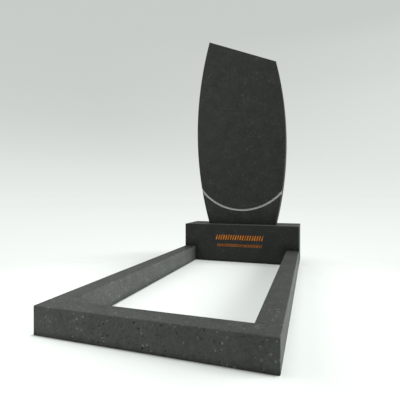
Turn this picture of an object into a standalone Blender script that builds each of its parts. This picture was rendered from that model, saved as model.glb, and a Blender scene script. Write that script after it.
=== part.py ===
"""A headstone set in dark granite: a leaning-topped stele on a pedestal, with a kerbed planting bed.

Metres, +Z up. The origin is the middle of the footprint, on the ground. The front of the set faces
-Y and the stele's back faces +Y, so the length of the set runs along Y and its width along X.
"""

import math

import bmesh
import bpy
from mathutils import Matrix, Vector

# Driving sizes

set_width = 0.600
side_kerb_length = 1.000
side_kerb_width = 0.060
front_kerb_width = 0.060
kerb_height = 0.075

pedestal_depth = 0.200
pedestal_height = 0.195

stele_tall_side = 1.000
stele_short_side = 0.850
stele_foot_width = 0.360
stele_thickness = 0.080
side_arc_radius = 1.830

groove_radius = 0.283
groove_lowest = 0.076
groove_width = 0.010
groove_depth = 0.004

inscription_below_top = 0.053
inscription_row_gap = 0.020
stroke_depth = 0.0015
stroke_slant = math.radians(16)

upper_row_width = 0.245
upper_row_height = 0.027
upper_stroke_width = 0.005
upper_stroke_count = 20

lower_row_width = 0.232
lower_row_height = 0.016
lower_stroke_width = 0.0035
lower_stroke_count = 29

bed_joint = 0.0003
arris = 0.002

# Worked out from them

set_length = front_kerb_width + side_kerb_length + pedestal_depth + 2 * bed_joint
front_y = -set_length / 2
side_kerb_front_y = front_y + front_kerb_width + bed_joint
pedestal_front_y = side_kerb_front_y + side_kerb_length + bed_joint
pedestal_centre_y = pedestal_front_y + pedestal_depth / 2
stele_foot_z = pedestal_height + bed_joint
stele_front_y = pedestal_centre_y - stele_thickness / 2
side_kerb_x = (set_width - side_kerb_width) / 2

arc_steps = 32
groove_steps = 64
cutter_reach = 0.010

granite_colour = (0.036, 0.038, 0.037)
granite_roughness = 0.35


def clear_scene():
    """Remove every object of the file that this script is run in."""
    for obj in list(bpy.data.objects):
        bpy.data.objects.remove(obj, do_unlink=True)


def new_collection(name):
    collection = bpy.data.collections.new(name)
    bpy.context.scene.collection.children.link(collection)
    return collection


def granite(stone_name):
    """The dark polished granite of one stone of the set, as a Principled material of its own."""
    material = bpy.data.materials.new(stone_name + "_granite")
    material.use_nodes = True
    shader = material.node_tree.nodes["Principled BSDF"]
    shader.inputs["Base Color"].default_value = (*granite_colour, 1.0)
    shader.inputs["Roughness"].default_value = granite_roughness
    shader.inputs["Metallic"].default_value = 0.0
    material.diffuse_color = (*granite_colour, 1.0)
    return material


def add_object(name, mesh, collection, material=None):
    obj = bpy.data.objects.new(name, mesh)
    collection.objects.link(obj)
    if material:
        mesh.materials.append(material)
    return obj


def add_cutter(name, mesh):
    """A helper that is cut away from a stone and isn't drawn itself."""
    cutter = add_object(name, mesh, cutters)
    cutter.hide_render = True
    cutter.display_type = "WIRE"
    return cutter


def ease_edges(obj):
    """Break every sharp edge of a stone with a narrow rounded arris, as a mason's polisher does."""
    bevel = obj.modifiers.new("arris", "BEVEL")
    bevel.width = arris
    bevel.segments = 2
    bevel.limit_method = "ANGLE"
    bevel.angle_limit = math.radians(30)
    obj.data.shade_smooth()
    obj.data.set_sharp_from_angle(angle=math.radians(20))


def cut(obj, cutter):
    boolean = obj.modifiers.new(cutter.name, "BOOLEAN")
    boolean.operation = "DIFFERENCE"
    boolean.solver = "EXACT"
    boolean.object = cutter


def sawn_block(name, size, centre):
    """A rectangular stone: a unit cube scaled in its mesh to its size, placed by its centre."""
    mesh = bpy.data.meshes.new(name)
    shape = bmesh.new()
    bmesh.ops.create_cube(shape, size=1.0, matrix=Matrix.Diagonal((*size, 1.0)))
    shape.to_mesh(mesh)
    shape.free()
    block = add_object(name, mesh, parts, granite(name))
    block.location = centre
    ease_edges(block)
    return block


def arc_between(start, end, radius):
    """Points from start to end along an arc that bulges to the right of that direction."""
    start, end = Vector(start), Vector(end)
    chord = end - start
    half = chord.length / 2
    outward = Vector((chord.y, -chord.x)).normalized()
    centre = (start + end) / 2 - outward * math.sqrt(radius**2 - half**2)
    half_angle = math.asin(half / radius)
    points = []
    for step in range(arc_steps + 1):
        angle = half_angle * (2 * step / arc_steps - 1)
        spoke = outward * math.cos(angle) + chord.normalized() * math.sin(angle)
        points.append(centre + spoke * radius)
    return points


def mesh_from_curve(curve_object):
    """The curve's shape as a welded mesh in world space. The curve itself is removed."""
    bpy.context.view_layer.update()
    graph = bpy.context.evaluated_depsgraph_get()
    evaluated = curve_object.evaluated_get(graph)
    mesh = bpy.data.meshes.new_from_object(evaluated)
    mesh.transform(curve_object.matrix_world)
    shape = bmesh.new()
    shape.from_mesh(mesh)
    bmesh.ops.remove_doubles(shape, verts=shape.verts, dist=1e-5)
    bmesh.ops.recalc_face_normals(shape, faces=shape.faces)
    shape.to_mesh(mesh)
    shape.free()
    bpy.data.objects.remove(curve_object, do_unlink=True)
    return mesh


def upright_curve(name, points, closed):
    """A POLY curve drawn on the (x, z) plane: its own x runs along X and its own y along Z."""
    curve = bpy.data.curves.new(name, "CURVE")
    spline = curve.splines.new("POLY")
    spline.points.add(len(points) - 1)
    for place, point in zip(spline.points, points):
        place.co = (point[0], point[1], 0.0, 1.0)
    spline.use_cyclic_u = closed
    obj = bpy.data.objects.new(name, curve)
    obj.rotation_euler = (math.pi / 2, 0, 0)
    parts.objects.link(obj)
    return obj


def make_stele():
    """The slab's outline, extruded through its thickness: both long sides are arcs of one radius."""
    half = stele_foot_width / 2
    right_side = arc_between((half, 0), (half, stele_short_side), side_arc_radius)
    left_side = arc_between((-half, stele_tall_side), (-half, 0), side_arc_radius)
    outline = upright_curve("stele_outline", right_side + left_side, closed=True)
    outline.data.dimensions = "2D"
    outline.data.fill_mode = "BOTH"
    outline.data.extrude = stele_thickness / 2
    outline.location = (0, pedestal_centre_y, stele_foot_z)
    stele = add_object("stele", mesh_from_curve(outline), parts, granite("stele"))
    ease_edges(stele)
    cut(stele, groove_cutter())


def groove_cutter():
    """The lower half of a ring. Its round section sinks into the face by the groove's depth."""
    section = (groove_width**2 / 4 + groove_depth**2) / (2 * groove_depth)
    angles = [math.pi * (1 + step / groove_steps) for step in range(groove_steps + 1)]
    points = [(groove_radius * math.cos(a), groove_radius * math.sin(a)) for a in angles]
    ring = upright_curve("groove_ring", points, closed=False)
    ring.data.dimensions = "3D"
    ring.data.bevel_depth = section
    ring.data.bevel_resolution = 4
    ring.data.use_fill_caps = True
    ring.location = (
        0,
        stele_front_y - section + groove_depth,
        stele_foot_z + groove_lowest + groove_radius,
    )
    return add_cutter("groove_cutter", mesh_from_curve(ring))


def stroke_row(shape, row_width, row_height, stroke_width, count, top_z):
    """Leaning bars side by side in one row, centred on the pedestal, standing in its front face."""
    pitch = (row_width - stroke_width) / (count - 1)
    lean = Matrix.Rotation(stroke_slant, 4, "Y")
    length = (row_height - stroke_width * math.sin(stroke_slant)) / math.cos(stroke_slant)
    bar = Matrix.Diagonal((stroke_width, 2 * (cutter_reach + stroke_depth), length, 1.0))
    for index in range(count):
        x = -row_width / 2 + stroke_width / 2 + index * pitch
        centre = Vector((x, pedestal_front_y - cutter_reach, top_z - row_height / 2))
        bmesh.ops.create_cube(shape, size=1.0, matrix=Matrix.Translation(centre) @ lean @ bar)


def strokes_cutter():
    """Two rows of plain leaning strokes, the upper one larger, where an inscription goes."""
    mesh = bpy.data.meshes.new("strokes_cutter")
    shape = bmesh.new()
    upper_top = pedestal_height - inscription_below_top
    lower_top = upper_top - upper_row_height - inscription_row_gap
    stroke_row(shape, upper_row_width, upper_row_height, upper_stroke_width, upper_stroke_count, upper_top)
    stroke_row(shape, lower_row_width, lower_row_height, lower_stroke_width, lower_stroke_count, lower_top)
    shape.to_mesh(mesh)
    shape.free()
    return add_cutter("strokes_cutter", mesh)


def make_pedestal():
    """The block that carries the stele, as wide as the kerbs, with the strokes cut in its front."""
    size = (set_width, pedestal_depth, pedestal_height)
    centre = (0, pedestal_centre_y, pedestal_height / 2)
    pedestal = sawn_block("pedestal", size, centre)
    cut(pedestal, strokes_cutter())


def make_kerbs():
    """Two long bars from the pedestal forward, and one across their front ends."""
    side_size = (side_kerb_width, side_kerb_length, kerb_height)
    side_y = side_kerb_front_y + side_kerb_length / 2
    sawn_block("left_kerb", side_size, (-side_kerb_x, side_y, kerb_height / 2))
    sawn_block("right_kerb", side_size, (side_kerb_x, side_y, kerb_height / 2))
    front_size = (set_width, front_kerb_width, kerb_height)
    front_centre = (0, front_y + front_kerb_width / 2, kerb_height / 2)
    sawn_block("front_kerb", front_size, front_centre)


clear_scene()
parts = new_collection("headstone")
cutters = new_collection("cutters")
make_stele()
make_pedestal()
make_kerbs()
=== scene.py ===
# %% [markdown]
# # A headstone set in dark polished granite
# The real object is five cut stones: a stele with two bulging sides and a slanted top, the pedestal
# that it stands on, and three kerbs that frame an open planting bed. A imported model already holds
# each stone at its real size. This lesson dresses every stone with a finer surface of the same form,
# gives it a procedural granite, and sets up a plain studio around it. It works in metres, +Z up.

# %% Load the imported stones
import math

import bmesh
import bpy
import numpy as np
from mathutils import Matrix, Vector


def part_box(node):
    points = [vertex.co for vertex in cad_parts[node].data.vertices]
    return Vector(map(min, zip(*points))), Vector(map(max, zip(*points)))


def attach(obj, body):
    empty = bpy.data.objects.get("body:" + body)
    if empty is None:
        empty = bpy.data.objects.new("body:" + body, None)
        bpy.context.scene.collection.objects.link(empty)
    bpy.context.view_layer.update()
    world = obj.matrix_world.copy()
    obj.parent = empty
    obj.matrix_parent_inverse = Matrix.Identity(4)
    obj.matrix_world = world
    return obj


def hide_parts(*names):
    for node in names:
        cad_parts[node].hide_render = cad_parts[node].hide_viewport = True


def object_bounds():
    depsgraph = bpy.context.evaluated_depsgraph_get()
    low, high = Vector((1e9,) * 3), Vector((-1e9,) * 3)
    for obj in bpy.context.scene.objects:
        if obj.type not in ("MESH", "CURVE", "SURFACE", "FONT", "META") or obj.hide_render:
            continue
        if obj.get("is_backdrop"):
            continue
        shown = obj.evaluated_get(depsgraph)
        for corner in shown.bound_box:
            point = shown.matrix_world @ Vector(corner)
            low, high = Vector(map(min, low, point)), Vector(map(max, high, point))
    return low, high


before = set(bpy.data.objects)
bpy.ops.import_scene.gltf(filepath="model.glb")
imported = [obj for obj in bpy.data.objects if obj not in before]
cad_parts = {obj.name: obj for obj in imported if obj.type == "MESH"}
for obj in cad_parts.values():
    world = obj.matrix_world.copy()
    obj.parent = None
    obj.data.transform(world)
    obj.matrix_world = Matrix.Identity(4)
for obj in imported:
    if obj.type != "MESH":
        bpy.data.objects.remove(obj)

cad_low, cad_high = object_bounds()
print("stones:", sorted(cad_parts))
print("box:", [round(v, 4) for v in cad_low], [round(v, 4) for v in cad_high])

# %% [markdown]
# ## The camera
# A photograph fixes its camera by its straight edges: parallel edges run to vanishing points, and
# those give the lens and the way the camera looks. The known kerb width then gives the distance.
# So the lens stands a little to the right of the set, low in front of it, and looks past it to the
# left. A focal length found in pixels becomes millimetres by the width of the sensor.

# %% Place the camera
frame_pixels = 400
focal_pixels = 333.1
sensor_width = 36.0
pedestal_low, pedestal_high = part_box("pedestal")
camera_right_of_centre = 0.3536
camera_before_pedestal = 1.7123
camera_height = 0.3473
camera_turn_left = math.radians(18.38)
camera_tip_down = math.radians(0.72)

camera_data = bpy.data.cameras.new("studio_camera")
camera_data.sensor_width = sensor_width
camera_data.lens = focal_pixels / frame_pixels * sensor_width
camera_data.clip_start = 0.05
camera_data.clip_end = 500.0
camera = bpy.data.objects.new("studio_camera", camera_data)
camera.location = (camera_right_of_centre, pedestal_low.y - camera_before_pedestal, camera_height)
camera.rotation_euler = (math.pi / 2 - camera_tip_down, 0.0, camera_turn_left)
bpy.context.scene.collection.objects.link(camera)
bpy.context.scene.camera = camera
bpy.context.scene.view_settings.view_transform = "Standard"
print("lens", round(camera_data.lens, 2), "mm at", [round(v, 3) for v in camera.location])

# %% [markdown]
# ## A small helper for materials
# A granite is a web of shader nodes. Written out one by one they are hard to follow, so this helper
# adds a node, sets what it is told, and links any socket that it is handed. A material then reads
# as a list of steps: crystals, clouds, flecks, and how they are mixed.

# %% Helper for node webs
def add_node(tree, kind, *values, **settings):
    """A new node. Values go to its inputs in order, and a name with a capital letter is an input
    too. Any other name is a setting of the node. A value that is a socket is linked."""
    node = tree.nodes.new("ShaderNode" + kind)
    inputs = dict(enumerate(values))
    for name, value in settings.items():
        if name[0].isupper():
            inputs[name.replace("_", " ")] = value
        else:
            setattr(node, name, value)
    for place, value in inputs.items():
        if isinstance(value, bpy.types.NodeSocket):
            tree.links.new(value, node.inputs[place])
        else:
            node.inputs[place].default_value = value
    return node


def ramp(tree, value, *stops):
    """A colour ramp from (place, grey or colour) stops."""
    node = add_node(tree, "ValToRGB", value)
    band = node.color_ramp
    while len(band.elements) < len(stops):
        band.elements.new(0.5)
    for element, (place, tone) in zip(band.elements, stops):
        element.position = place
        element.color = (tone, tone, tone, 1.0) if isinstance(tone, float) else (*tone, 1.0)
    return node.outputs["Color"]


def product(tree, first, second, amount=1.0):
    """Two colours multiplied, or a colour scaled by a grey value. amount is how much of it counts."""
    node = add_node(tree, "MixRGB", amount, first, second, blend_type="MULTIPLY")
    return node.outputs["Color"]


def new_material(name, preview):
    """An empty material with a Principled shader, and the colour that a solid view shows."""
    material = bpy.data.materials.new(name)
    material.use_nodes = True
    material.diffuse_color = (*preview, 1.0)
    tree = material.node_tree
    place = add_node(tree, "TexCoord").outputs["Object"]
    return material, tree, tree.nodes["Principled BSDF"], place


def dress(tree, shader, colour, gloss, relief):
    """Hand the shader its colour, the roughness of a MapRange node and the normals of a Bump node."""
    tree.links.new(colour, shader.inputs["Base Color"])
    tree.links.new(gloss.outputs["Result"], shader.inputs["Roughness"])
    tree.links.new(relief.outputs["Normal"], shader.inputs["Normal"])


print("material helpers ready")

# %% [markdown]
# ## Painted shade along the joints
# Little light gets into the corner where two stones meet, or where a stone meets the ground, so a
# set looks darker along each joint. That shade is painted into the stones' colour as a soft dark
# band. Drawing it as an image would take a mask for every face. Instead the material measures how
# far a point lies from the box of a neighbour, and darkens the stone as that distance shrinks. The
# band then follows any change of size. Each neighbour is written as its box, how far its painted
# shade reaches in metres, and how deep it is.

# %% Painted shade beside a neighbour
# Painted shade: the tone that darkens a colour near a neighbour's box.
def beside(tree, place, low, high, reach, strength):
    """A tone that is 1 - strength on a neighbour's box and 1 at its reach: the distance from a point
    p to the box is the length of max(low - p, p - high, 0), and the shade goes with the square of
    1 - distance / reach."""
    below = add_node(tree, "VectorMath", low, place, operation="SUBTRACT")
    above = add_node(tree, "VectorMath", place, high, operation="SUBTRACT")
    outside = add_node(tree, "VectorMath", below.outputs["Vector"], above.outputs["Vector"],
                       operation="MAXIMUM")
    gap = add_node(tree, "VectorMath", outside.outputs["Vector"], (0.0, 0.0, 0.0), operation="MAXIMUM")
    away = add_node(tree, "VectorMath", gap.outputs["Vector"], operation="LENGTH")
    near = add_node(tree, "MapRange", away.outputs["Value"], 0.0, reach, 1.0, 0.0)
    near = add_node(tree, "Math", near.outputs["Result"], 2.0, operation="POWER")
    tone = add_node(tree, "MapRange", near.outputs["Value"], 0.0, 1.0, 1.0, 1.0 - strength)
    return tone.outputs["Result"]


def with_shades(tree, place, colour, neighbours):
    """The colour under the deepest shade of any neighbour. Each neighbour is a box, a reach and a
    strength. Two shades that were multiplied would leave a dark spot where their boxes meet."""
    tones = [beside(tree, place, *box, reach, strength) for box, reach, strength in neighbours]
    if not tones:
        return colour
    deepest = tones[0]
    for tone in tones[1:]:
        deepest = add_node(tree, "Math", deepest, tone, operation="MINIMUM").outputs["Value"]
    return product(tree, colour, deepest)


# Painted shade: each of these darkens the stone's colour beside a neighbour or the ground.
far_away = 9.0
ground_box = (-far_away, -far_away, -far_away), (far_away, far_away, 0.0)
by_ground = ground_box, 0.022, 0.55
stele_by_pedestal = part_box("pedestal"), 0.110, 0.50
kerb_by_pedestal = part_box("pedestal"), 0.170, 0.65
pedestal_by_kerbs = [(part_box(node), 0.060, 0.50) for node in ("left_kerb", "right_kerb")]
print("shades reach from", by_ground[1], "m at the ground to", kerb_by_pedestal[1], "m on the kerbs")

# %% [markdown]
# ## Polished dark granite
# Fine dark granite is a packed mass of crystals about a millimetre wide: mostly grey feldspar, some
# nearly black mica and hornblende, and a few pale grains. Seen from two steps away the crystals melt
# into soft clouds, and only the largest grains stay visible one by one, pale and dark ones mixed in
# loose clusters. A Voronoi texture gives the crystals, because each of its cells has a random colour
# of its own. A second, coarser one gives the large grains. A noise bends the space that it reads, so
# that they aren't round, and the same web read some cells further on gives the dark ones. Two more
# noises give the clouds. Polish leaves each mineral with its own gloss and a trace of relief, so
# roughness and bump follow the same crystals.

# %% The polished finish
crystal_size = 0.0011
fleck_spacing = 0.0085
fleck_shift = 0.031
fleck_bend_size = 0.003
fleck_bend = 0.0070
smallest_fleck = 0.08
largest_fleck = 0.40
fleck_edge = 0.04
cluster_pull = 1.6
cluster_starts = 1.30
cluster_is_full = 1.80
dark_grain = 0.45
cloud_size = 0.055
smudge_size = 0.009
mineral_tones = (0.0, 0.76), (0.16, 0.84), (0.22, 0.94), (0.72, 1.02), (0.84, 1.10), (0.97, 1.33)
cloud_tones = (0.30, 0.90), (0.70, 1.10)
smudge_tones = (0.32, 0.90), (0.68, 1.10)
polish_relief = 0.00004
polish_gloss = 0.008
granite_tint = (0.93, 1.0, 0.935)


def tinted(grey):
    """A grey with the faint green of this granite."""
    return tuple(grey * part for part in granite_tint)


def minerals(tree, here):
    """A random value for each crystal, the same all over it."""
    crystals = add_node(tree, "TexVoronoi", Vector=here, Scale=1 / crystal_size)
    return add_node(tree, "SeparateColor", crystals.outputs["Color"]).outputs["Red"]


def flecks(tree, here, clouds, shift):
    """A mask of single grains. Each cell of a Voronoi texture may hold one round its point, of a size
    of its own, which is a share of the spacing. More cells do where the clouds are pale, because the
    clouds' pull is added to the cell's own chance. The shift moves them all sideways."""
    bent = add_node(tree, "TexNoise", Vector=here, Scale=1 / fleck_bend_size, Detail=1.0)
    pushed = add_node(tree, "VectorMath", bent.outputs["Color"], (fleck_bend,) * 3, here,
                      operation="MULTIPLY_ADD")
    moved = add_node(tree, "VectorMath", pushed.outputs["Vector"], (shift, -shift, shift), operation="ADD")
    grains = add_node(tree, "TexVoronoi", Vector=moved.outputs["Vector"], Scale=1 / fleck_spacing)
    chance = add_node(tree, "SeparateColor", grains.outputs["Color"])
    crowd = add_node(tree, "Math", clouds, cluster_pull, chance.outputs["Red"],
                     operation="MULTIPLY_ADD")
    chosen = add_node(tree, "MapRange", crowd.outputs["Value"], cluster_starts, cluster_is_full, 0.0, 1.0)
    reach = add_node(tree, "MapRange", chance.outputs["Green"], 0.0, 1.0, smallest_fleck, largest_fleck)
    inside = add_node(tree, "Math", reach.outputs["Result"], grains.outputs["Distance"],
                      operation="SUBTRACT")
    edge = add_node(tree, "MapRange", inside.outputs["Value"], 0.0, fleck_edge, 0.0, 1.0)
    mask = add_node(tree, "Math", chosen.outputs["Result"], edge.outputs["Result"], operation="MULTIPLY")
    return mask.outputs["Value"]


def polished_granite(name, grey, fleck_grey, roughness, turn, neighbours):
    """Dark granite. grey is the mean reflectance of the stone and fleck_grey that of its pale
    grains. turn moves and turns the pattern, so that two stones never show the same one. The
    neighbours paint shade on the stone beside them."""
    material, tree, shader, place = new_material(name, tinted(grey))
    moved = add_node(tree, "Mapping", place, (turn, 1.7 * turn, -0.6 * turn), (turn, 0.4 * turn, turn))
    here = moved.outputs["Vector"]
    mineral = minerals(tree, here)
    clouds = add_node(tree, "TexNoise", Vector=here, Scale=1 / cloud_size, Detail=3.0)
    smudges = add_node(tree, "TexNoise", Vector=here, Scale=1 / smudge_size, Detail=2.0)
    body = product(tree, ramp(tree, mineral, *mineral_tones), (*tinted(grey), 1.0))
    body = product(tree, body, ramp(tree, clouds.outputs["Fac"], *cloud_tones))
    body = product(tree, body, ramp(tree, smudges.outputs["Fac"], *smudge_tones))

    dark = flecks(tree, here, clouds.outputs["Fac"], fleck_shift)
    pale = flecks(tree, here, clouds.outputs["Fac"], 0.0)
    body = product(tree, body, (*(dark_grain,) * 3, 1.0), dark)
    surface = add_node(tree, "MixRGB", pale, body, (*tinted(fleck_grey), 1.0)).outputs["Color"]
    # Painted shade from the neighbours darkens the colour here.
    surface = with_shades(tree, place, surface, neighbours)

    gloss = add_node(tree, "MapRange", mineral, 0.0, 1.0, roughness * 1.2, roughness * 0.85)
    relief = add_node(tree, "Bump", Height=mineral, Strength=0.10, Distance=polish_relief)
    dress(tree, shader, surface, gloss, relief)
    shader.inputs["Specular IOR Level"].default_value = polish_gloss
    return material


print("a fleck every", fleck_spacing * 1000, "mm, crystals of", crystal_size * 1000, "mm")

# %% [markdown]
# ## One granite, five polished greys
# Polish darkens granite, because a smooth face scatters less light. A yard spends its finest wheels
# on the faces that will be read: the stele and the pedestal's front come out nearly black. The
# pedestal's ends and top take paler copies of the same granite, which paint in the stronger light
# that falls on them, and the kerbs, which lie low and catch every scratch, are only polished once.
# So the finishes differ in their grey, and in how strongly the pale grains stand out. Each line gives
# both, and then the roughness, the turn of the pattern and the neighbours that paint shade on it.

# %% The polished finishes
stele_polish = polished_granite("stele_polish", 0.0158, 0.036, 0.42, 0.0, [stele_by_pedestal])
pedestal_polish = polished_granite("pedestal_polish", 0.0146, 0.033, 0.42, 1.3,
                                   pedestal_by_kerbs + [by_ground])
# Painted light: the pedestal's ends and top are paler copies of its granite, for the light that falls on
# them.
pedestal_end_lit_copy = polished_granite("pedestal_side_painted_light", 0.0215, 0.046, 0.42, 1.3, [by_ground])
pedestal_top_lit_copy = polished_granite("pedestal_top_painted_light", 0.0385, 0.072, 0.42, 1.3, [])
kerb_polish = polished_granite("kerb_polish", 0.0446, 0.096, 0.45, 2.9, [kerb_by_pedestal, by_ground])
for finish in (stele_polish, pedestal_polish, pedestal_end_lit_copy, pedestal_top_lit_copy, kerb_polish):
    print(finish.name, "has", len(finish.node_tree.nodes), "nodes")

# %% [markdown]
# ## Sawn faces
# A yard polishes only what will be seen. The back, the underside and the butted ends keep the finish
# of the saw: matt, a good deal paler than the polish because a rough surface scatters light, and
# combed by the rim of the big blade in long shallow arcs. A Wave texture of rings does that, with its
# centre pushed a blade's radius away from the stone. At a scale of 1 its rings are about 0.32 m apart,
# so the scale is that over the gap that is wanted.

# %% The sawn finish
saw_radius = 1.25
saw_mark_gap = 0.026
ring_gap_at_scale_one = 0.32
saw_mark_depth = 0.0003
sawn_relief = 0.0002
sawn_gloss = 0.15
sawn_mineral_tones = (0.0, 0.62), (0.20, 0.82), (0.75, 1.04), (0.97, 1.45)
sawn_cloud_tones = (0.30, 0.88), (0.70, 1.12)
saw_mark_tones = (0.0, 0.91), (0.55, 1.0), (1.0, 1.06)


def sawn_granite(name, grey, roughness, turn):
    """The same crystals without polish, under arcs about a point one saw radius away."""
    material, tree, shader, place = new_material(name, tinted(grey))
    mineral = minerals(tree, place)
    clouds = add_node(tree, "TexNoise", Vector=place, Scale=1 / cloud_size, Detail=4.0)
    far_centre = add_node(tree, "Mapping", place, (turn - saw_radius, 0.0, -saw_radius))
    arcs = add_node(tree, "TexWave", Vector=far_centre.outputs["Vector"],
                    Scale=ring_gap_at_scale_one / saw_mark_gap, Distortion=3.0, Detail=2.0,
                    Detail_Scale=0.8, wave_type="RINGS", rings_direction="Y")
    body = product(tree, ramp(tree, mineral, *sawn_mineral_tones), (*tinted(grey), 1.0))
    body = product(tree, body, ramp(tree, clouds.outputs["Fac"], *sawn_cloud_tones))
    body = product(tree, body, ramp(tree, arcs.outputs["Fac"], *saw_mark_tones))
    gloss = add_node(tree, "MapRange", mineral, 0.0, 1.0, roughness, roughness * 0.9)
    grooves = add_node(tree, "Bump", Height=arcs.outputs["Fac"], Strength=0.5, Distance=saw_mark_depth)
    relief = add_node(tree, "Bump", Height=mineral, Normal=grooves.outputs["Normal"], Strength=0.5,
                      Distance=sawn_relief)
    dress(tree, shader, body, gloss, relief)
    shader.inputs["Specular IOR Level"].default_value = sawn_gloss
    return material


stele_sawn = sawn_granite("stele_sawn", 0.062, 0.72, 0.0)
pedestal_sawn = sawn_granite("pedestal_sawn", 0.058, 0.72, 0.4)
kerb_sawn = sawn_granite("kerb_sawn", 0.072, 0.72, 0.9)
print("sawn:", stele_sawn.name, pedestal_sawn.name, kerb_sawn.name)

# %% [markdown]
# ## Surfaces from whole arrays
# Every new surface below is a grid: an array of points, worked out all at once, and an array of quads
# that index them. One helper lists the quads and one builds the object. It merges the points that
# two grids share, so that the stone is one closed shell, and turns its faces outwards. All faces are
# shaded smooth. To keep the flat faces flat, a second row of points, the holding row, runs close
# beside each round edge, so that the turn of the shading ends there.

# %% Helpers for grids and objects
weld_distance = 0.000002
holding = 0.0004


def grid_quads(rows, columns, first=0):
    """Quads of a grid whose point (r, c) has the index first + r * columns + c."""
    corner = first + np.arange(rows - 1)[:, None] * columns + np.arange(columns - 1)[None, :]
    corner = corner.reshape(-1, 1)
    return corner + np.array([0, 1, columns + 1, columns])


def make_stone(name, grids, tones, materials):
    """One closed shell from several grids of points. tones has a material slot for each quad of
    each grid, or one for the whole grid."""
    starts = np.cumsum([0] + [grid.shape[0] * grid.shape[1] for grid in grids])
    points = np.concatenate([grid.reshape(-1, 3) for grid in grids])
    quads = [grid_quads(*grid.shape[:2], first) for grid, first in zip(grids, starts)]
    slots = [np.broadcast_to(tone, len(quad)) for tone, quad in zip(tones, quads)]
    mesh = bpy.data.meshes.new(name)
    mesh.from_pydata(points.tolist(), [], np.concatenate(quads).tolist())
    for material in materials:
        mesh.materials.append(material)
    mesh.polygons.foreach_set("material_index", np.concatenate(slots).astype(np.int32))
    shape = bmesh.new()
    shape.from_mesh(mesh)
    bmesh.ops.remove_doubles(shape, verts=shape.verts, dist=weld_distance)
    bmesh.ops.recalc_face_normals(shape, faces=shape.faces)
    open_edges = sum(not edge.is_manifold for edge in shape.edges)
    shape.to_mesh(mesh)
    shape.free()
    mesh.shade_smooth()
    stone = bpy.data.objects.new(name, mesh)
    bpy.context.scene.collection.objects.link(stone)
    print(name, len(mesh.polygons), "faces,", open_edges, "open edges")
    return stone


def set_in_place(stone, node):
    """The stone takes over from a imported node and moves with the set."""
    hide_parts(node)
    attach(stone, "root")


print("points closer than", weld_distance * 1e6, "micrometres are merged")

# %% [markdown]
# ## A block with eased arrises
# A mason never leaves a polished edge sharp: it would chip, and it would cut. Each edge is rubbed to
# a round arris about two millimetres wide, and that narrow round is what catches the light along the
# kerbs. It could be a Bevel modifier on a cube. Worked out directly it is one short formula, and the
# arris gets as many steps as it needs while the long flat faces stay single quads.

# %% Block surface
arris_radius = 0.002
arris_steps = 5


def block_stations(low, high, radius):
    """Places along one axis: close together over both arrises, with a holding place inside."""
    turn = radius * np.tan(np.linspace(0.0, math.pi / 4, arris_steps + 1))
    inner = [low + radius + holding, high - radius - holding]
    return np.concatenate([low + radius - turn[::-1], inner, high - radius + turn])


def block_grids(low, high, radius):
    """Six grids, one for each side, in the order -X, +X, -Y, +Y, -Z, +Z. A point q of the sharp
    block goes to p = c + radius * unit(q - c), where c is the nearest point of the block's core,
    which is the block shrunk by the radius on every side."""
    low, high = np.array(low), np.array(high)
    stations = [block_stations(a, b, radius) for a, b in zip(low, high)]
    grids = []
    for axis in range(3):
        across, along = [k for k in range(3) if k != axis]
        u, v = np.meshgrid(stations[across], stations[along], indexing="ij")
        for level in (low[axis], high[axis]):
            sharp = np.empty(u.shape + (3,))
            sharp[..., axis] = level
            sharp[..., across] = u
            sharp[..., along] = v
            core = np.clip(sharp, low + radius, high - radius)
            spoke = sharp - core
            grids.append(core + radius * spoke / np.linalg.norm(spoke, axis=-1, keepdims=True))
    return grids


print("an arris turns in", 2 * arris_steps, "steps")

# %% [markdown]
# ## The three kerbs
# The kerbs are plain bars bedded on the ground: a short one across the front, as wide as the whole
# set, and two long ones that butt against it and run back to the pedestal. Tops, inner and outer
# sides are polished, and so is the front bar's face. The undersides and the butted ends are sawn. The
# lists give the finish of each side in the order of the block's grids: 0 is polished, 1 is sawn.

# %% Kerbs
kerb_sides = {
    "left_kerb": [0, 0, 1, 1, 1, 0],
    "right_kerb": [0, 0, 1, 1, 1, 0],
    "front_kerb": [0, 0, 0, 0, 1, 0],
}
for node, sides in kerb_sides.items():
    low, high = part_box(node)
    kerb = make_stone(node + "_stone", block_grids(low, high, arris_radius), sides,
                      [kerb_polish, kerb_sawn])
    set_in_place(kerb, node)
    print(node, "is", [round(b - a, 4) for a, b in zip(low, high)])

# %% [markdown]
# ## The gilded strokes
# The pedestal's front carries an inscription on the real stone. Here it is two rows of plain leaning
# strokes in the same place, the upper row larger, which spell nothing. Each is cut with a round tool
# to a depth of a millimetre and a half and filled with warm orange gilding. Gold paint in a fresh
# cut is never even: it is thinner on the walls, and it has the grain of the stone under it. The
# gilding is also darker towards the bottom, by a ramp over the height, so the lower row is darker.

# %% The gilding
stroke_depth = 0.0015
stroke_slant = math.radians(16)
inscription_below_top = 0.053
inscription_row_gap = 0.020
upper_row = {"width": 0.245, "height": 0.027, "stroke": 0.005, "count": 20}
lower_row = {"width": 0.232, "height": 0.016, "stroke": 0.0035, "count": 29}
lowest_gold_tone = 0.74
gold_grains_per_metre = 900.0
gold_patches_per_metre = 110.0
gold_relief_depth = 0.00015
upper_top = pedestal_high.z - inscription_below_top
lower_top = upper_top - upper_row["height"] - inscription_row_gap

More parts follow.
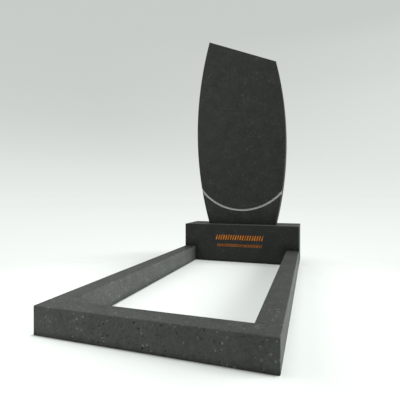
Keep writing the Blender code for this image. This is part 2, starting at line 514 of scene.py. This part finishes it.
gilding, gold_tree, gold_shader, gold_place = new_material("gilding", (0.80, 0.33, 0.07))
gold_grain = add_node(gold_tree, "TexNoise", Vector=gold_place, Scale=gold_grains_per_metre,
                      Detail=3.0)
gold_wear = add_node(gold_tree, "TexNoise", Vector=gold_place, Scale=gold_patches_per_metre,
                     Detail=2.0)
gold_colour = ramp(gold_tree, gold_wear.outputs["Fac"], (0.30, (0.192, 0.054, 0.001)),
                   (0.52, (0.276, 0.088, 0.002)), (0.75, (0.348, 0.128, 0.006)))
gold_grain_tone = ramp(gold_tree, gold_grain.outputs["Fac"], (0.35, 0.82), (0.65, 1.08))
# The gilding is made darker towards the bottom, by a ramp over the height.
gold_height = add_node(gold_tree, "SeparateXYZ", gold_place).outputs["Z"]
gold_tone = add_node(gold_tree, "MapRange", gold_height, lower_top, upper_top - upper_row["height"],
                     lowest_gold_tone, 1.0).outputs["Result"]
gold_colour = product(gold_tree, product(gold_tree, gold_colour, gold_grain_tone), gold_tone)
gold_gloss = add_node(gold_tree, "MapRange", gold_grain.outputs["Fac"], 0.3, 0.7, 0.38, 0.56)
gold_relief = add_node(gold_tree, "Bump", Height=gold_grain.outputs["Fac"], Strength=0.4,
                       Distance=gold_relief_depth)
dress(gold_tree, gold_shader, gold_colour, gold_gloss, gold_relief)
gold_shader.inputs["Metallic"].default_value = 0.25
gold_shader.inputs["Specular IOR Level"].default_value = 0.08
print("gilding for", upper_row["count"] + lower_row["count"], "strokes")

# %% Cutters for the strokes
bar_round = 16
bar_cap_steps = 6


def round_bar(length, radius):
    """A bar along Z with two half balls for ends. The path runs pole to pole; its radius is that of
    a circle over each end and constant between, and a full circle is carried along it."""
    turn = np.linspace(0.0, math.pi / 2, bar_cap_steps + 1)
    straight = length / 2 - radius
    height = np.concatenate([-straight - radius * np.cos(turn), straight + radius * np.sin(turn)])
    width = np.concatenate([radius * np.sin(turn), radius * np.cos(turn)])
    angle = np.linspace(0.0, 2 * math.pi, bar_round + 1)
    grid = np.empty((len(height), len(angle), 3))
    grid[..., 0] = width[:, None] * np.cos(angle)
    grid[..., 1] = width[:, None] * np.sin(angle)
    grid[..., 2] = height[:, None]
    return grid


def row_of_bars(row, top):
    """Equal bars leaning to the right. Each one's axis stands off the face so far that its round
    belly sinks in by the stroke's depth and leaves a cut of the stroke's width."""
    half = row["stroke"] / 2
    radius = (half**2 + stroke_depth**2) / (2 * stroke_depth)
    length = (row["height"] - row["stroke"]) / math.cos(stroke_slant) + 2 * radius
    bar = round_bar(length, radius)
    lean_x = bar[..., 0] * math.cos(stroke_slant) + bar[..., 2] * math.sin(stroke_slant)
    lean_z = bar[..., 2] * math.cos(stroke_slant) - bar[..., 0] * math.sin(stroke_slant)
    middle = top - row["height"] / 2
    axis_y = pedestal_low.y + stroke_depth - radius
    reach = (row["width"] - row["stroke"]) / 2
    places = np.linspace(-reach, reach, row["count"])
    return [np.stack([lean_x + x, bar[..., 1] + axis_y, lean_z + middle], axis=-1) for x in places]


bars = row_of_bars(upper_row, upper_top) + row_of_bars(lower_row, lower_top)
bar_cutter = make_stone("stroke_bars", bars, [0] * len(bars), [gilding])

# %% [markdown]
# ## The pedestal
# The pedestal is a block as wide as the set. The strokes are cut with a Boolean: it takes the bars
# away and lines each cut with the bars' own material, so the gilding lands exactly in the cuts. The
# bars are then thrown away. A sharp edge is marked wherever the surface turns by more than the arris
# does in one step, so the flat face round the strokes stays flat. The front takes its own polish, the
# ends and the top take paler copies that paint in their light, and the back and the underside are
# sawn.

# %% Pedestal
sharp_turn = math.radians(25)
pedestal_finishes = [pedestal_polish, pedestal_sawn, pedestal_end_lit_copy, pedestal_top_lit_copy]
pedestal_sides = [2, 2, 0, 1, 1, 3]
pedestal = make_stone("pedestal_stone", block_grids(pedestal_low, pedestal_high, arris_radius),
                      pedestal_sides, pedestal_finishes)
cut = pedestal.modifiers.new("strokes", "BOOLEAN")
cut.operation = "DIFFERENCE"
cut.solver = "EXACT"
cut.material_mode = "TRANSFER"
cut.object = bar_cutter
graph = bpy.context.evaluated_depsgraph_get()
cut_mesh = bpy.data.meshes.new_from_object(pedestal.evaluated_get(graph))
pedestal.modifiers.clear()
pedestal.data = cut_mesh
pedestal.data.shade_smooth()
pedestal.data.set_sharp_from_angle(angle=sharp_turn)
bpy.data.objects.remove(bar_cutter, do_unlink=True)
set_in_place(pedestal, "pedestal")
print("pedestal has", len(cut_mesh.polygons), "faces and", [m.name for m in cut_mesh.materials])

# %% [markdown]
# ## The engraved line
# Low on the stele a fine line sweeps from edge to edge: a groove cut with a round-nosed wheel along
# the lower part of a circle. It isn't polished, so the crushed stone in it shows pale grey.

# %% The frosted finish of the line
dust_grains_per_metre = 260.0
frosted, frost_tree, frost_shader, frost_place = new_material("frosted_line", (0.34, 0.35, 0.34))
frost_mineral = minerals(frost_tree, frost_place)
frost_dust = add_node(frost_tree, "TexNoise", Vector=frost_place, Scale=dust_grains_per_metre,
                      Detail=3.0)
frost_tone = ramp(frost_tree, frost_mineral, (0.0, 0.095), (0.35, 0.125), (0.80, 0.160), (1.0, 0.210))
frost_dust_tone = ramp(frost_tree, frost_dust.outputs["Fac"], (0.30, 0.86), (0.70, 1.10))
frost_body = product(frost_tree, frost_tone, frost_dust_tone)
frost_body = product(frost_tree, frost_body, (*granite_tint, 1.0))
frost_gloss = add_node(frost_tree, "MapRange", frost_mineral, 0.0, 1.0, 0.78, 0.66)
frost_relief = add_node(frost_tree, "Bump", Height=frost_mineral, Strength=0.6, Distance=sawn_relief)
dress(frost_tree, frost_shader, frost_body, frost_gloss, frost_relief)
print("frosted finish has", len(frost_tree.nodes), "nodes")

# %% [markdown]
# ## The outline of the stele
# Both long sides are arcs of one large radius. Each stands on the foot line and ends at the height
# of its own side, and the top is a straight slant between the two ends. The slab's mesh needs that
# outline at many depths inside the stone, because the arris starts a little way in. So one function
# gives a side's place at any height and any inset: a smaller radius round the same centre.

# %% Outline of the stele
stele_low, stele_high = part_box("stele")
foot_half = 0.180
tall_side = 1.000
short_side = 0.850
side_radius = 1.830
stele_arris = 0.0022
slant = math.atan2(tall_side - short_side, 2 * foot_half)
side_height = np.array([tall_side, short_side])


def side_place(height, inset, side):
    """How far out a side is at a height above the foot: x = sign * (foot_half - e + root), where
    root = sqrt((radius - inset)^2 - (height - middle)^2) and e is the root at the foot itself.
    side is 0 for the left one and 1 for the right one."""
    middle = side_height[side] / 2
    at_foot = np.sqrt(side_radius**2 - middle**2)
    root = np.sqrt((side_radius - inset) ** 2 - (height - middle) ** 2)
    return np.where(side == 0, -1.0, 1.0) * (foot_half - at_foot + root)


def side_normal(height, side):
    """The way out of the stone on a side: along the spoke of its arc."""
    up = (height - side_height[side] / 2) / side_radius
    return np.where(side == 0, -1.0, 1.0) * np.sqrt(1 - up**2), up


widest = side_place(np.array([tall_side, short_side]) / 2, 0.0, np.array([0, 1]))
print("widest places:", widest.round(4), "slant", round(math.degrees(slant), 1), "degrees")

# %% [markdown]
# ## Rows that follow the groove
# A groove cut by a Boolean leaves ragged faces round it. Here the grid of the front face is laid out
# so that the groove is a set of its rows. From the foot upwards the rows bend until they are rings
# about the groove's centre, and past the groove they straighten again into the slanted top. Then the
# groove is only a matter of pushing a few rows back, and its shoulders are as crisp as they are cut.

# %% Rows of the face
groove_radius = 0.283
groove_lowest = 0.076
groove_width = 0.010
groove_depth = 0.004
groove_shoulder = 0.0004
groove_centre = groove_lowest + groove_radius
wheel_radius = (groove_width**2 / 4 + groove_depth**2) / (2 * groove_depth)
wheel_stand_off = wheel_radius - groove_depth
lower_rows = 10
upper_rows = 26
wheel_steps = 16
shoulder_steps = 4
rounds_until_met = 60


def groove_section():
    """Offsets across the groove, outer side first, and the depth at each: a round bottom of the
    wheel's radius, and a small round shoulder that is tangent to both it and the face."""
    spread = math.sqrt((wheel_radius + groove_shoulder) ** 2 - (wheel_stand_off + groove_shoulder) ** 2)
    tangent = math.atan2(spread, wheel_stand_off + groove_shoulder)
    bend = np.linspace(0.0, tangent, shoulder_steps + 1)
    turn = np.linspace(tangent, -tangent, wheel_steps + 1)[1:-1]
    shoulder = spread - groove_shoulder * np.sin(bend)
    shoulder_depth = groove_shoulder * (1 - np.cos(bend))
    across = np.concatenate([[spread + holding], shoulder, wheel_radius * np.sin(turn),
                             -shoulder[::-1], [-spread - holding]])
    depth = np.concatenate([[0.0], shoulder_depth, wheel_radius * np.cos(turn) - wheel_stand_off,
                            shoulder_depth[::-1], [0.0]])
    return across, depth


section_across, section_depth = groove_section()
lower_share = np.concatenate([[0.0, holding / groove_lowest], np.linspace(0.0, 1.0, lower_rows)[1:-1]])
upper_share = np.concatenate([np.linspace(0.0, 1.0, upper_rows)[1:-1], [1 - holding / short_side, 1.0]])
ring_offset = np.concatenate([np.full(lower_rows, section_across[0]), section_across,
                              np.full(upper_rows, section_across[-1])])
foot_blend = np.concatenate([lower_share, np.ones(len(section_across) + upper_rows)])
top_blend = np.concatenate([np.zeros(lower_rows + len(section_across)), upper_share])
row_depth = np.concatenate([np.zeros(lower_rows), section_depth, np.zeros(upper_rows)])


def row_height(row, x):
    """Height above the foot of a row at x: the foot line blended into a ring about the groove's
    centre by foot_blend, and that blended into the slanted top by top_blend."""
    ring = groove_centre - np.sqrt((groove_radius + ring_offset[row]) ** 2 - x**2)
    foot_line = stele_arris
    top_line = (tall_side + short_side) / 2 - x * math.tan(slant) - stele_arris / math.cos(slant)
    height = foot_line + foot_blend[row] * (ring - foot_line)
    return height + top_blend[row] * (top_line - height)


def row_end(row, inset, side):
    """Where a row meets a side at an inset. Height gives x and x gives height, so the two are put
    into each other until they agree."""
    x = np.where(side == 0, -foot_half, foot_half) + 0.0 * inset
    for _ in range(rounds_until_met):
        x = side_place(row_height(row, x), inset, side)
    return x


print(len(row_depth), "rows, the deepest", round(row_depth.max() * 1000, 2), "mm")

# %% [markdown]
# ## The skin of the slab
# The front skin is one grid. Its outermost columns and rows turn round the arris, a quarter circle
# from the face to the side, and at the four corners both turns share the corner of a ball. The groove
# sinks each point at least to its row's depth, so where it runs out over the sides it nicks the
# arris as a real cut does. The back skin is the same grid without the groove, and a band of a few
# rings joins their rims through the slab's thickness.

# %% Grid of one skin
face_columns = 96
stele_arris_steps = 6
quarter = np.linspace(0.0, math.pi / 2, stele_arris_steps + 1)
share_beside_side = holding / (2 * foot_half)
inner_share = np.linspace(0.0, 1.0, face_columns + 1)[1:-1]
column_share = np.concatenate([np.zeros(len(quarter)), [share_beside_side], inner_share,
                               [1 - share_beside_side], np.ones(len(quarter))])
side_turn = np.concatenate([quarter[::-1], np.zeros(face_columns + 1), quarter])[None, :]
side_of = np.where(column_share < 0.5, 0, 1)[None, :]
end_turn = np.concatenate([quarter[:0:-1], np.zeros(len(row_depth)), quarter[1:]])[:, None]
row_of = np.clip(np.arange(len(end_turn)) - stele_arris_steps, 0, len(row_depth) - 1)[:, None]
at_foot = row_of < len(row_depth) / 2


def slab_skin():
    """Plan (x, height) of every point, and how far it lies behind the flat face. A point of an
    arris is the arris radius away from a core point, and its direction turns by the column's angle
    towards the side and by the row's angle towards the foot or the top. The larger of the two
    angles gives how far it leans back."""
    inset = stele_arris * np.where(end_turn > 0, 1.0, 1 - np.sin(side_turn))
    left = row_end(row_of, np.array([[stele_arris]]), 0)
    right = row_end(row_of, np.array([[stele_arris]]), 1)
    x = np.where(side_turn > 0, row_end(row_of, inset, side_of), left + (right - left) * column_share)
    height = row_height(row_of, x)
    side_x, side_z = side_normal(height, side_of)
    way_x = np.sin(side_turn) * side_x + np.sin(end_turn) * np.where(at_foot, 0.0, math.sin(slant))
    way_z = np.sin(side_turn) * side_z + np.sin(end_turn) * np.where(at_foot, -1.0, math.cos(slant))
    length = np.maximum(np.hypot(way_x, way_z), 1e-9)
    lean = np.maximum(side_turn, end_turn)
    out = np.where(end_turn > 0, stele_arris * np.sin(lean), 0.0)
    return x + out * way_x / length, height + out * way_z / length, stele_arris * (1 - np.cos(lean))


plan_x, plan_height, sink = slab_skin()
print("skin grid", plan_x.shape, "tip at", round(plan_height.max(), 5), "above the foot")

# %% Stele
frosted_from = groove_shoulder / 2
rim_ring = 3 * groove_depth
ring_count = 5


def upright(depth_places):
    """Points of a skin in the world, from how far along Y each one is."""
    return np.stack([plan_x, depth_places, stele_low.z + plan_height], axis=-1)


def rim(grid):
    """The closed edge of a grid: along the foot, up the right side, back along the top, down."""
    return np.concatenate([grid[0], grid[1:, -1], grid[-1, -2::-1], grid[-2::-1, 0]])


def quad_means(values):
    """The mean of the four corners of every quad of a grid."""
    return (values[:-1, :-1] + values[1:, :-1] + values[:-1, 1:] + values[1:, 1:]).reshape(-1) / 4


depth = np.broadcast_to(row_depth[row_of], sink.shape)
front_skin = upright(stele_low.y + np.maximum(sink, depth))
back_skin = upright(stele_high.y - sink)
front_rim, back_rim = rim(front_skin), rim(back_skin)
rings = np.repeat(front_rim[None], ring_count, axis=0)
rings[1, :, 1] += holding
rings[2, :, 1] = stele_low.y + rim_ring
rings[3, :, 1] = stele_high.y - stele_arris - holding
rings[-1] = back_rim

in_line = quad_means(depth) > np.maximum(quad_means(sink), frosted_from)
on_back = quad_means(sink) == 0
underside = np.tile(np.arange(len(front_rim) - 1) < plan_x.shape[1] - 1, len(rings) - 1)
stele = make_stone(
    "stele_stone",
    [front_skin, back_skin, rings],
    [in_line * 2, on_back * 1, underside * 1],
    [stele_polish, stele_sawn, frosted],
)
set_in_place(stele, "stele")

# %% [markdown]
# ## The studio
# The set stands on a seamless white floor that melts into a pale backdrop. Close to the stones the
# floor is lit like any diffuse surface, so they stand in their own soft shadow. Painted shade darkens
# the floor's colour in a narrow line along the foot of each stone, where the least light gets in,
# except on the set's right, where the lamps reach it, and at the far end of the bed, before the
# pedestal. Further out the floor turns by degrees into a surface that glows with the backdrop's own
# colour, so no horizon shows and the set's shadow fades out there.

# %% Floor
floor_radius = 60.0
floor_sides = 96

floor_mesh = bpy.data.meshes.new("studio_floor")
floor_shape = bmesh.new()
bmesh.ops.create_circle(floor_shape, cap_ends=True, segments=floor_sides, radius=floor_radius)
floor_shape.to_mesh(floor_mesh)
floor_shape.free()
floor = bpy.data.objects.new("studio_floor", floor_mesh)
bpy.context.scene.collection.objects.link(floor)
floor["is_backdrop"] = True
print("floor of", floor_radius, "m")

# %% Shades on the floor
# Painted shade: narrow darker lines on the floor along each stone's foot, and a patch at the far end of
# the bed.
foot_reach = 0.012
foot_strength = 0.62
bed_end_half = 0.16
bed_end_depth = 0.05
bed_end = (-bed_end_half, pedestal_low.y, -1.0), (bed_end_half, pedestal_low.y + bed_end_depth, 1.0)
bed_end_shade = bed_end, 0.12, 0.34
shade_ends = cad_high - Vector((foot_reach, 0.0, 0.0))
feet = [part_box(node) for node in ("pedestal", *kerb_sides)]
feet = [(low, Vector(map(min, high, shade_ends))) for low, high in feet]
painted_foot_shades = [(foot, foot_reach, foot_strength) for foot in feet]
print(len(painted_foot_shades), "foot lines", foot_reach, "m wide")

# %% The floor's paper
floor_grey = 0.530
lit_floor_centre = (0.0, -0.30, 0.0)
lit_floor_ends = 0.70
glow_is_full = 1.20
glow_reach = 12.0
studio_tint = (0.955, 1.0, 0.965)
glow_tones = (0.060, 1.0), (0.107, 0.970), (0.173, 0.943), (0.289, 0.918), (0.583, 0.889), (1.0, 0.865)

paper, paper_tree, paper_shader, paper_place = new_material("studio_paper", (0.8, 0.8, 0.8))
paper_colour = (*(floor_grey * t for t in studio_tint), 1.0)
# The painted shade goes into the paper's colour.
paper_colour = with_shades(paper_tree, paper_place, paper_colour, painted_foot_shades + [bed_end_shade])
paper_tree.links.new(paper_colour, paper_shader.inputs["Base Color"])
paper_shader.inputs["Roughness"].default_value = 1.0
paper_shader.inputs["Specular IOR Level"].default_value = 0.0
away = add_node(paper_tree, "VectorMath", paper_place, operation="LENGTH")
from_centre = add_node(paper_tree, "VectorMath", paper_place, lit_floor_centre, operation="DISTANCE")
glow_share = add_node(paper_tree, "MapRange", from_centre.outputs["Value"], lit_floor_ends,
                      glow_is_full, 0.0, 1.0, interpolation_type="SMOOTHSTEP")
far_share = add_node(paper_tree, "Math", away.outputs["Value"], glow_reach, operation="DIVIDE")
glow_tone = ramp(paper_tree, far_share.outputs["Value"], *glow_tones)
glow_tone = product(paper_tree, glow_tone, (*studio_tint, 1.0))
glow = add_node(paper_tree, "Emission", glow_tone, 1.0)
paper_mix = add_node(paper_tree, "MixShader", glow_share.outputs["Result"],
                     paper_shader.outputs["BSDF"], glow.outputs["Emission"])
paper_output = paper_tree.nodes["Material Output"]
paper_tree.links.new(paper_mix.outputs["Shader"], paper_output.inputs["Surface"])
floor_mesh.materials.append(paper)
print("lit by the lamps alone within", lit_floor_ends, "m of", lit_floor_centre)

# %% [markdown]
# ## The backdrop
# The backdrop is the world: brightest at the horizon and greyer further up, a little less so on the
# right. One ramp over the height serves the left and another the right, and the direction mixes them.
# Straight overhead, where the camera never looks, it is black, so that only the lamps light the tops.

# %% Backdrop
left_tones = ((0.0, 0.850), (0.017, 0.835), (0.074, 0.785), (0.130, 0.720), (0.185, 0.672),
              (0.225, 0.645), (0.300, 0.620), (0.400, 0.608), (0.600, 0.604), (0.630, 0.0))
right_tones = ((0.0, 0.850), (0.017, 0.840), (0.074, 0.800), (0.130, 0.775), (0.200, 0.750),
               (0.264, 0.723), (0.314, 0.690), (0.385, 0.658), (0.430, 0.610), (0.600, 0.604),
               (0.630, 0.0))
left_ends = -0.55
right_starts = 0.20

world = bpy.data.worlds.new("studio_backdrop")
bpy.context.scene.world = world
world.use_nodes = True
sky = world.node_tree
direction = add_node(sky, "SeparateXYZ", add_node(sky, "TexCoord").outputs["Generated"])
rise = direction.outputs["Z"]
left_sky = ramp(sky, rise, *left_tones)
right_sky = ramp(sky, rise, *right_tones)
to_right = add_node(sky, "MapRange", direction.outputs["X"], left_ends, right_starts, 0.0, 1.0)
sky_tone = add_node(sky, "MixRGB", to_right.outputs["Result"], left_sky, right_sky).outputs["Color"]
sky_tone = product(sky, sky_tone, (*studio_tint, 1.0))
sky.links.new(sky_tone, sky.nodes["Background"].inputs["Color"])
print("backdrop of", len(sky.nodes), "nodes")

# %% [markdown]
# ## The lights
# The faces that look to the right are by far the brightest, the tops come next and the fronts are
# nearly black, and yet the set throws only a faint shadow. One lamp can't do that. Two large soft
# lamps on the right do most of the work and throw what shadow there is, with smaller ones on the
# left, overhead and behind. The other three are fills that throw none. Two of them stand close to the
# floor, on the right and in front on the left, so that they graze it and light the upright faces
# instead. The camera sees none of the lamps.

# %% Soft lights
def soft_light(name, place, aim, size, watts, throws_shadow=True):
    """A square area light at a place that faces the aim."""
    data = bpy.data.lights.new(name, "AREA")
    data.shape = "SQUARE"
    data.size = size
    data.energy = watts
    data.use_shadow = throws_shadow
    light = bpy.data.objects.new(name, data)
    light.location = place
    light.rotation_euler = (Vector(aim) - Vector(place)).to_track_quat("-Z", "Y").to_euler()
    light.visible_camera = False
    bpy.context.scene.collection.objects.link(light)
    return light


set_middle = (0.0, 0.0, 0.3)
soft_light("right_key", (4.0, 0.5, 1.8), set_middle, 2.5, 106.0)
soft_light("right_low", (3.0, 0.5, 0.9), set_middle, 1.5, 143.0)
soft_light("right_grazing", (3.5, 0.0, 0.35), set_middle, 0.8, 152.0, throws_shadow=False)
soft_light("left_key", (-1.5, -0.6, 1.4), set_middle, 1.0, 18.0)
soft_light("left_fill", (-0.9, -1.0, 1.0), set_middle, 0.5, 19.0, throws_shadow=False)
soft_light("front_grazing", (-2.5, -2.5, 0.35), set_middle, 0.6, 53.0, throws_shadow=False)
soft_light("overhead", (0.0, -0.3, 2.2), set_middle, 1.5, 24.0)
soft_light("back_light", (-2.5, 3.5, 3.0), set_middle, 2.5, 6.0)

# %% Measure the dressed stones against the box
dressed_low, dressed_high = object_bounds()
overshoot = max((dressed_high - cad_high)[:] + (cad_low - dressed_low)[:])
print("over the box by", round(overshoot * 1000, 3), "mm")
